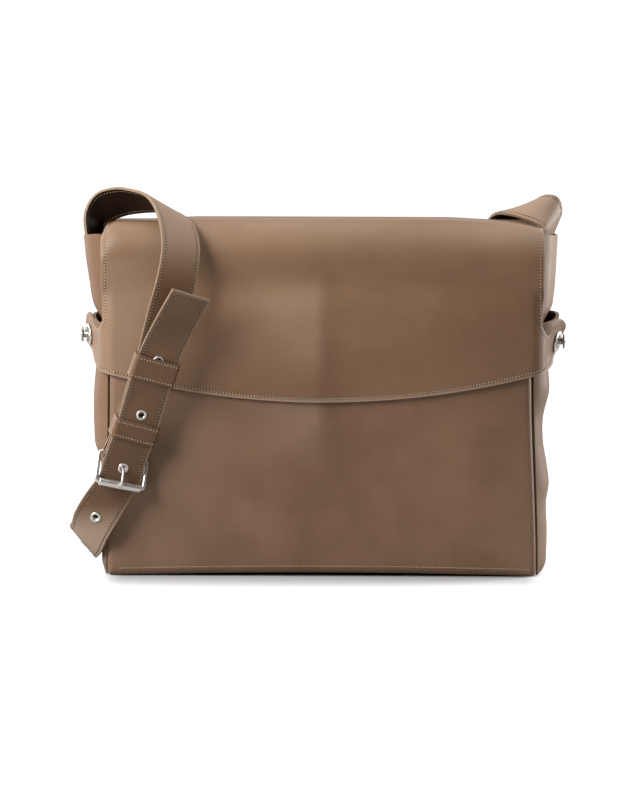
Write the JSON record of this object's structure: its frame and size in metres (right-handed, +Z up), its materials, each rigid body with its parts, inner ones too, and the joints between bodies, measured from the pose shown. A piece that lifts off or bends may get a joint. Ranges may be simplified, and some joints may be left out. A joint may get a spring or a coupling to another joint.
{
  "type": "messenger bag",
  "caption": "Leather messenger bag with a full front flap held at the sides by turn-locks, side pockets and an adjustable shoulder strap with a roller buckle.",
  "frame": {"origin": "middle of the base panel's underside, where the bag stands", "axes": "+X to the bag's right as the flap is seen, +Y to the back, +Z up"},
  "size_m": [0.4569, 0.1955, 0.3525],
  "materials": {
    "body_leather": "smooth waxed full-grain leather, satin, light cut edges",
    "flap_leather": "smooth waxed full-grain leather, satin, light cut edges",
    "strap_leather": "smooth waxed full-grain leather, satin, stitched along both edges",
    "nickel": "polished nickel plate"
  },
  "bodies": {
    "bag": {"front_panel": "body_leather", "back_panel": "body_leather", "base_panel": "body_leather", "gusset_left": "body_leather", "gusset_right": "body_leather", "pocket_left": "body_leather", "pocket_right": "body_leather", "flap": "flap_leather", "buckle_strap": "strap_leather", "hole_strap": "strap_leather", "keeper_upper": "strap_leather", "keeper_lower": "strap_leather", "eyelet_1": "nickel", "eyelet_2": "nickel", "eyelet_3": "nickel", "eyelet_4": "nickel", "eyelet_5": "nickel", "buckle_frame": "nickel", "buckle_roller": "nickel", "buckle_prong": "nickel", "lock_base_left": "nickel", "lock_base_right": "nickel", "lock_plate_left": "nickel", "lock_plate_right": "nickel"},
    "button_left": {"turn_button_left": "nickel"},
    "button_right": {"turn_button_right": "nickel"}
  },
  "joints": [
    {"name": "lock_turn_left", "type": "hinge", "parent": "bag", "child": "button_left", "pos_m": [-0.21246, -0.01029, 0.2175], "axis": [-0.9781, -0.2079, 0], "range_deg": [0, 90]},
    {"name": "lock_turn_right", "type": "hinge", "parent": "bag", "child": "button_right", "pos_m": [0.2138, -0.0107, 0.2125], "axis": [0.9781, -0.2079, 0], "range_deg": [0, 90]}
  ]
}
